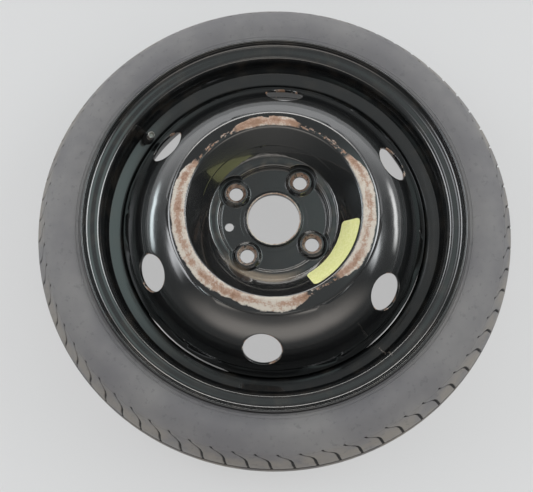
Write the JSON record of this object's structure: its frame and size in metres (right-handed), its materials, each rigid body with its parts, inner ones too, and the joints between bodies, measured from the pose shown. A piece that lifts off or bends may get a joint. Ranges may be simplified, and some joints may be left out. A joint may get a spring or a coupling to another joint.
{
  "type": "space saver spare wheel",
  "caption": "Narrow steel spare wheel with its slim tyre, dished disc with round vents, conical bolt seats and a snap-in valve.",
  "frame": {"origin": "centre of the hub bore at the disc's mounting face", "axes": "+Z along the wheel's axis towards its outer face; in the picture +X points right and +Y up"},
  "size_m": [0.53, 0.53, 0.1493],
  "materials": {
    "tyre_rubber": "matt moulded rubber",
    "rim_paint": "gloss black paint on rolled steel",
    "disc_paint": "gloss black paint on pressed steel, rusty where it is worn",
    "weld_paint": "painted weld beads",
    "valve_rubber": "black moulded rubber",
    "valve_brass": "dulled turned brass",
    "core_brass": "turned brass",
    "seal_rubber": "moulded seal",
    "spring_wire": "drawn wire",
    "label_film": "pale yellow blank film"
  },
  "bodies": {
    "wheel": {"tyre": "tyre_rubber", "rim": "rim_paint", "disc": "disc_paint", "weld_bead_1": "weld_paint", "weld_bead_2": "weld_paint", "weld_bead_3": "weld_paint", "weld_bead_4": "weld_paint", "valve_rubber": "valve_rubber", "valve_stem": "valve_brass", "core_plug": "core_brass", "core_barrel": "core_brass", "core_seal": "seal_rubber", "core_spring": "spring_wire", "label": "label_film"},
    "valve_pin": {"core_pin": "core_brass", "core_cup": "core_brass", "core_cup_seal": "seal_rubber"}
  },
  "joints": [
    {"name": "pin_press", "type": "slide", "parent": "wheel", "child": "valve_pin", "axis": [-0.2677, 0.2129, -0.9397], "range_m": [0, 0.0012], "stiffness_N_per_m": 200, "springref_m": -0.0015, "deforming": ["core_spring"]}
  ]
}
